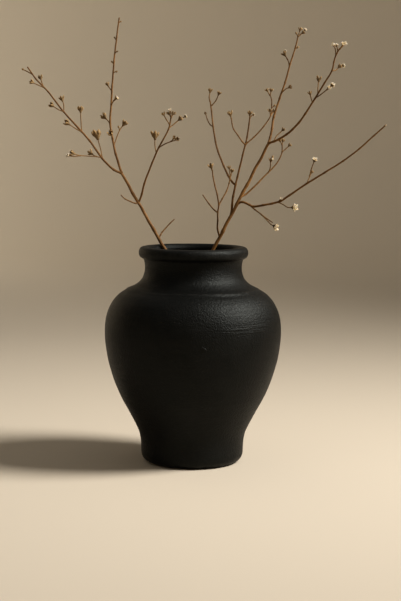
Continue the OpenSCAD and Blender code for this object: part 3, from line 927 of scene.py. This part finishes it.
class Growth:
    """Closed shells on the ends of stalks, gathered into one mesh."""

    def __init__(self):
        self.points = []
        self.faces = []
        self.skins = []
        self.values = []
        self.count = 0

    def add(self, points, faces, skin, value):
        self.faces += [tuple(self.count + i for i in face) for face in faces]
        self.points.append(points)
        self.skins += [skin] * len(faces)
        self.values.append(np.broadcast_to(value, len(points)))
        self.count += len(points)

    def piece(self, name, skins, label):
        made = make_piece(
            name, np.concatenate(self.points), self.faces, skins,
            {label: np.concatenate(self.values)},
        )
        made.data.polygons.foreach_set("material_index", self.skins)
        return made


def tip_frame(line, size, spin):
    """A way to place points that are given in units of a head's radius, with Z along the end of
    its stalk."""
    end = np.array(line[-1], float)
    before = np.array(line[-2], float)
    up = (end - before) / np.linalg.norm(end - before)
    across = np.cross(up, (0.2, 0.97, 0.12))
    across /= np.linalg.norm(across)
    other = np.cross(up, across)
    one = math.cos(spin) * across + math.sin(spin) * other
    two = np.cross(up, one)
    return lambda local: end + size * (np.asarray(local) @ np.stack([one, two, up]))


def lathe(profile, sides, lobes=0, depth=0.0, phase=0.0):
    """A turned shell from (radius, height) pairs that start and end near the axis, with soft
    lobes round it."""
    a = np.linspace(0, 2 * math.pi, sides, endpoint=False)
    wave = 1 + depth * np.cos(lobes * a + phase)
    points = np.concatenate([
        np.stack([r * wave * np.cos(a), r * wave * np.sin(a), np.full(sides, z)], 1)
        for r, z in profile
    ])
    return points, capped_faces(len(profile), sides)


def blade(spine, widths, azimuth, thickness, cup, draw, crinkle, steps=7, across=6):
    """A thin closed flap or petal. Its spine is (out, up) points, its widths are half widths at
    them, and its edges cup upwards. Gives points, faces and how far along each point is."""
    places = np.linspace(0, len(spine) - 1, steps + 1)
    line = smooth_curve(spine, places)
    half = np.interp(places, range(len(widths)), widths)
    run = np.gradient(line, axis=0)
    run /= np.linalg.norm(run, axis=1)[:, None]
    lean = np.stack([-run[:, 1], run[:, 0]], 1)
    v = np.linspace(-1, 1, across + 1)
    wave = [draw.uniform(-1, 1) for _ in range(4)]
    shells = []
    for face_side in (0.5, -0.5):
        grid = []
        for k, (place, width) in enumerate(zip(line, half)):
            share = k / steps
            curl = wave[0] * np.sin(2.6 * v + 3 * share + wave[1])
            curl = curl + wave[2] * np.cos(4.1 * v + wave[3])
            lift = cup * width * v**2 + crinkle * share * curl
            lift = lift + face_side * thickness * (1 - 0.4 * v**2)
            out = place[0] + lean[k, 0] * lift
            up = place[1] + lean[k, 1] * lift
            grid.append(np.stack([out, width * v, up], 1))
        shells.append(np.concatenate(grid))
    cosine = math.cos(azimuth)
    sine = math.sin(azimuth)
    points = np.concatenate(shells) @ np.array([[cosine, sine, 0], [-sine, cosine, 0], [0, 0, 1]])

    n = across + 1
    back = (steps + 1) * n
    faces = []
    for k in range(steps):
        for here in range(k * n, k * n + across):
            faces.append((here + n, here + n + 1, here + 1, here))
            faces.append((back + here, back + here + 1, back + here + n + 1, back + here + n))
    edge = list(range(n))
    edge += [k * n + n - 1 for k in range(1, steps + 1)]
    edge += [steps * n + j for j in range(n - 2, -1, -1)]
    edge += [k * n for k in range(steps - 1, 0, -1)]
    for a, b in zip(edge, edge[1:] + edge[:1]):
        faces.append((a, b, back + b, back + a))
    reach = np.tile(np.repeat(np.linspace(0, 1, steps + 1), n), 2)
    return points, faces, reach


def grow_seed_head(growth, line, size, draw):
    place = tip_frame(line, seed_head_swell * size, draw.uniform(0, 6.28))
    cup = [(0.1, -0.5), (0.27, -0.48), (0.34, -0.15), (0.55, 0.2), (0.72, 0.5), (0.7, 0.62),
           (0.5, 0.5), (0.1, 0.4)]
    points, faces = lathe(cup, 15, 5, 0.08)
    growth.add(place(points), faces, husk_skin, 0.3)
    pods = draw.choice([4, 5, 5, 5])
    for k in range(pods):
        open_by = draw.uniform(-0.12, 0.12)
        top = draw.uniform(1.45, 1.75)
        spine = [(0.4, 0.2), (0.82, 0.62), (1.04 + open_by, 1.15), (0.96 + 1.5 * open_by, top)]
        azimuth = 2 * math.pi * k / pods + draw.uniform(-0.15, 0.15)
        points, faces, reach = blade(
            spine, [0.26, 0.44, 0.42, 0.08], azimuth, thickness=0.13, cup=0.6, draw=draw,
            crinkle=0.05,
        )
        growth.add(place(points), faces, husk_skin, reach)
    for _ in range(draw.randint(2, 4)):
        a = draw.uniform(0, 6.28)
        r = draw.uniform(0.1, 0.3)
        z = draw.uniform(0.7, 0.95)
        seed = [(0.03, -0.24), (0.13, -0.12), (0.15, 0.05), (0.08, 0.2), (0.02, 0.26)]
        points, faces = lathe(seed, 8)
        points = points + (r * math.cos(a), r * math.sin(a), z)
        growth.add(place(points), faces, seed_skin, 0.5)


def grow_bud(growth, line, size, draw):
    place = tip_frame(line, size, draw.uniform(0, 6.28))
    spindle = [(0.1, -0.5), (0.4, -0.46), (0.62, -0.1), (0.86, 0.4), (0.95, 0.85), (0.82, 1.35),
               (0.5, 1.85), (0.22, 2.2), (0.04, 2.38)]
    points, faces = lathe(spindle, 20, 5, 0.09, draw.uniform(0, 6.28))
    growth.add(place(points), faces, husk_skin, 0.5)


for side, grown in shoots.items():
    husks = Growth()
    for k, (kind, size, line) in enumerate(grown):
        if kind == "seed":
            grow_seed_head(husks, line, size, random.Random(f"{side} seed {k}"))
        elif kind == "bud":
            grow_bud(husks, line, size, random.Random(f"{side} bud {k}"))
    heads = husks.piece(side + "_husks", [dry_husk, dark_seed], "rib")
    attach(heads, side + "_sprig")
    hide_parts(side + "_seed_heads")


# ---- Blossoms -------------------------------------------------------------------------------
# Small dried flowers that kept their cream petals. Each has a brown cup on its stalk, two rings
# of thin papery petals with crinkled edges, and a tuft of stamens in the middle.


def papery_petal(name, base, edge):
    """Thin dry petal: brownish at its root, cream and a little uneven towards its edge."""
    skin, tree, surface, place = new_skin(name)
    veins = mottle(tree, place, scale=900)
    amount = sum_of(tree, (value_of(tree, "reach"), 1.2), (veins, 0.5))
    colour = tint(tree, rescale(tree, amount, 0.5, 1.25), base, edge)
    tree.links.new(colour, surface.inputs["Base Color"])
    surface.inputs["Roughness"].default_value = 0.8
    surface.inputs["Subsurface Weight"].default_value = 0.35
    surface.inputs["Subsurface Radius"].default_value = (0.9, 0.75, 0.5)
    surface.inputs["Subsurface Scale"].default_value = 0.001
    set_relief(tree, surface, veins, 0.0001)
    return skin


cream_petal = papery_petal("cream_petal", (0.3, 0.18, 0.08, 1), (0.82, 0.71, 0.54, 1))
straw_stamen = papery_petal("straw_stamen", (0.5, 0.33, 0.14, 1), (0.7, 0.55, 0.3, 1))
petal_skin = 1
stamen_skin = 2
stamens = 9
# Each ring of petals: how many, how far they lean out, how high they rise, and their half width.
petal_rings = [(6, 1.12, 0.66, 0.46), (5, 0.74, 1.15, 0.4)]


def grow_blossom(growth, line, size, draw):
    place = tip_frame(line, size, draw.uniform(0, 6.28))
    cup = [(0.08, -0.4), (0.24, -0.38), (0.38, -0.18), (0.62, 0.1), (0.68, 0.3), (0.6, 0.36),
           (0.45, 0.2), (0.1, 0.0)]
    points, faces = lathe(cup, 15, 5, 0.1)
    growth.add(place(points), faces, husk_skin, 0.0)
    for petals, lean, rise, wide in petal_rings:
        start = draw.uniform(0, 6.28)
        for k in range(petals):
            out = lean * draw.uniform(0.84, 1.0)
            up = rise * draw.uniform(0.75, 1.2)
            half = wide * draw.uniform(0.85, 1.1)
            spine = [(0.14, 0.0), (0.5 * out, 0.22 * up), (0.84 * out, 0.6 * up), (out, up)]
            azimuth = start + 2 * math.pi * k / petals + draw.uniform(-0.12, 0.12)
            points, faces, reach = blade(
                spine, [0.12, 0.8 * half, half, 0.25 * half], azimuth, thickness=0.05, cup=0.3,
                draw=draw, crinkle=0.09,
            )
            growth.add(place(points), faces, petal_skin, reach)
    for _ in range(stamens):
        a = draw.uniform(0, 6.28)
        r = draw.uniform(0.03, 0.2)
        top = draw.uniform(0.4, 0.62)
        thread = [
            (0.02, 0.0), (0.022, top - 0.1), (0.055, top - 0.04), (0.05, top), (0.02, top + 0.03)
        ]
        points, faces = lathe(thread, 6)
        tilt = r * (1 + points[:, 2] * 1.2)
        points[:, 0] += math.cos(a) * tilt
        points[:, 1] += math.sin(a) * tilt
        growth.add(place(points), faces, stamen_skin, 0.6)


for side, grown in shoots.items():
    flowers = Growth()
    for k, (kind, size, line) in enumerate(grown):
        if kind == "blossom":
            grow_blossom(flowers, line, size, random.Random(f"{side} blossom {k}"))
    blossoms = flowers.piece(
        side + "_dried_blossoms", [dry_husk, cream_petal, straw_stamen], "reach"
    )
    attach(blossoms, side + "_sprig")
    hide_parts(side + "_blossoms")


# ---- Studio ---------------------------------------------------------------------------------
# A pale round floor whose edge sweeps up into a backdrop. A gridded soft lamp high on the right
# lights the pot, a weak one fills it from the left, and one behind it lights the backdrop. The
# camera looks slightly down on the pot. The sizes here are in metres.

floor_flat = 3.0
sweep_radius = 1.6
wall_rise = 3.4
under_pot = 0.0002
sweep = [(0.001, 0), (0.5, 0), (1.2, 0), (2.1, 0), (floor_flat, 0)]
sweep += [
    (floor_flat + sweep_radius * math.sin(a), sweep_radius * (1 - math.cos(a)))
    for a in np.linspace(0, math.pi / 2, 13)[1:]
]
sweep += [(floor_flat + sweep_radius, wall_rise)]
sweep_sides = 96
sweep_turn = np.linspace(0, 2 * math.pi, sweep_sides, endpoint=False)
sweep_points = np.concatenate([
    np.stack([r * np.cos(sweep_turn), r * np.sin(sweep_turn), np.full(sweep_sides, z)], 1)
    for r, z in sweep
]) / MM
paper = bpy.data.materials.new("pale_paper")
paper.use_nodes = True
paper_surface = paper.node_tree.nodes["Principled BSDF"]
paper_surface.inputs["Base Color"].default_value = (0.58, 0.51, 0.41, 1)
paper_surface.inputs["Roughness"].default_value = 0.9
sweep_faces = [face[::-1] for face in ring_faces(len(sweep), sweep_sides)]
sweep_faces.append(tuple(range(sweep_sides)))
studio_floor = make_piece("studio_floor", sweep_points, sweep_faces, [paper])
studio_floor.location.z = -under_pot


def soft_lamp(name, place, target, size, spread, power, colour):
    """A round soft lamp. size is metres across, and spread is its beam's width in degrees."""
    lamp = bpy.data.lights.new(name, "AREA")
    lamp.shape = "DISK"
    lamp.size = size
    lamp.spread = math.radians(spread)
    lamp.energy = power
    lamp.color = colour
    held = bpy.data.objects.new(name, lamp)
    held.location = place
    aim = Vector(target) - Vector(place)
    held.rotation_euler = aim.to_track_quat("-Z", "Y").to_euler()
    held.visible_camera = False
    bpy.context.scene.collection.objects.link(held)


soft_lamp(
    "key_lamp", (1.63, -0.26, 1.65), (-0.6, 0, 0.1), size=0.9, spread=90, power=21,
    colour=(1.0, 0.97, 0.93),
)
soft_lamp(
    "fill_lamp", (-1.8, -1.4, 1.1), (0, 0, 0.2), size=1.6, spread=180, power=1.5,
    colour=(0.95, 0.97, 1.0),
)
soft_lamp(
    "backdrop_lamp", (-2.4, 2.0, 1.4), (-1.8, 4.4, 0.8), size=1.2, spread=180, power=44,
    colour=(1.0, 0.95, 0.86),
)

sky = bpy.data.worlds.new("studio_sky")
sky.use_nodes = True
sky.node_tree.nodes["Background"].inputs["Color"].default_value = (1.0, 0.96, 0.9, 1)
sky.node_tree.nodes["Background"].inputs["Strength"].default_value = 0.25
bpy.context.scene.world = sky
bpy.context.scene.view_settings.view_transform = "Standard"
bpy.context.scene.view_settings.look = "Medium High Contrast"

camera_down = 6.12
camera_roll = 0.45
camera_data = bpy.data.cameras.new("camera")
camera_data.lens = 84.8
camera_data.sensor_width = 36
camera = bpy.data.objects.new("camera", camera_data)
camera.location = (0.0086, -1.63, 0.362)
look_down = Matrix.Rotation(math.radians(90 - camera_down), 4, "X")
roll = Matrix.Rotation(math.radians(camera_roll), 4, "Z")
camera.rotation_euler = (look_down @ roll).to_euler()
bpy.context.scene.collection.objects.link(camera)
bpy.context.scene.camera = camera
